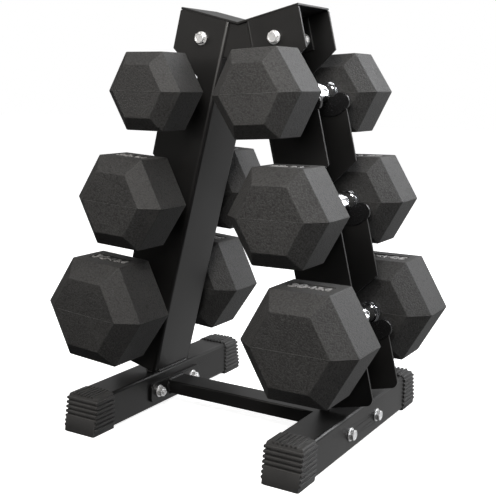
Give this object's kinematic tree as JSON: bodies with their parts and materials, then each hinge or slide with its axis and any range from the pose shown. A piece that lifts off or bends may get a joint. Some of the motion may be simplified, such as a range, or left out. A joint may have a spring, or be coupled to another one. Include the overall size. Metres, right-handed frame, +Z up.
{
  "type": "dumbbell rack",
  "caption": "A-frame dumbbell rack: leaning channel uprights with hook notches on capped foot tubes, loaded with rubber hex dumbbells that lift off.",
  "frame": {"origin": "on the floor, midway between the feet and midway along them", "axes": "+Z up, Y along the feet and the dumbbell handles, X across the rack"},
  "size_m": [0.4762, 0.379, 0.5775],
  "materials": {
    "frame_paint": "satin",
    "cap_plastic": "matte",
    "saddle_plastic": "satin",
    "zinc": "bright",
    "head_rubber": "matte",
    "core_iron": "rough",
    "handle_chrome": "polished"
  },
  "bodies": {
    "rack": {"crossbar_tube": "frame_paint", "crossbar_welds": "frame_paint", "foot_bolts": "zinc", "foot_nuts": "zinc", "foot_washers": "zinc", "left_bottom_saddles": "saddle_plastic", "left_crossbar_plate": "frame_paint", "left_foot_tube": "frame_paint", "left_front_cap": "cap_plastic", "left_middle_saddles": "saddle_plastic", "left_rear_cap": "cap_plastic", "left_top_saddles": "saddle_plastic", "left_upright": "frame_paint", "left_upright_welds": "frame_paint", "right_bottom_saddles": "saddle_plastic", "right_crossbar_plate": "frame_paint", "right_foot_tube": "frame_paint", "right_front_cap": "cap_plastic", "right_middle_saddles": "saddle_plastic", "right_rear_cap": "cap_plastic", "right_top_saddles": "saddle_plastic", "right_upright": "frame_paint", "right_upright_welds": "frame_paint", "top_bolts": "zinc", "top_connector": "frame_paint", "top_nuts": "zinc", "top_washers": "zinc"},
    "dumbbell_left_bottom": {"left_bottom_head_front": "head_rubber", "left_bottom_head_rear": "head_rubber", "left_bottom_cores": "core_iron", "left_bottom_handle": "handle_chrome"},
    "dumbbell_left_middle": {"left_middle_head_front": "head_rubber", "left_middle_head_rear": "head_rubber", "left_middle_cores": "core_iron", "left_middle_handle": "handle_chrome"},
    "dumbbell_left_top": {"left_top_head_front": "head_rubber", "left_top_head_rear": "head_rubber", "left_top_cores": "core_iron", "left_top_handle": "handle_chrome"},
    "dumbbell_right_bottom": {"right_bottom_head_front": "head_rubber", "right_bottom_head_rear": "head_rubber", "right_bottom_cores": "core_iron", "right_bottom_handle": "handle_chrome"},
    "dumbbell_right_middle": {"right_middle_head_front": "head_rubber", "right_middle_head_rear": "head_rubber", "right_middle_cores": "core_iron", "right_middle_handle": "handle_chrome"},
    "dumbbell_right_top": {"right_top_head_front": "head_rubber", "right_top_head_rear": "head_rubber", "right_top_cores": "core_iron", "right_top_handle": "handle_chrome"}
  },
  "joints": [
    {"name": "left_bottom_lift_off", "type": "slide", "parent": "rack", "child": "dumbbell_left_bottom", "axis": [-0.8704, 0, 0.4924], "range_m": [0, 0.09]},
    {"name": "left_middle_lift_off", "type": "slide", "parent": "rack", "child": "dumbbell_left_middle", "axis": [-0.7431, 0, 0.6691], "range_m": [0, 0.09]},
    {"name": "left_top_lift_off", "type": "slide", "parent": "rack", "child": "dumbbell_left_top", "axis": [-0.7314, 0, 0.682], "range_m": [0, 0.09]},
    {"name": "right_bottom_lift_off", "type": "slide", "parent": "rack", "child": "dumbbell_right_bottom", "axis": [0.8704, 0, 0.4924], "range_m": [0, 0.09]},
    {"name": "right_middle_lift_off", "type": "slide", "parent": "rack", "child": "dumbbell_right_middle", "axis": [0.7431, 0, 0.6691], "range_m": [0, 0.09]},
    {"name": "right_top_lift_off", "type": "slide", "parent": "rack", "child": "dumbbell_right_top", "axis": [0.7314, 0, 0.682], "range_m": [0, 0.09]}
  ]
}
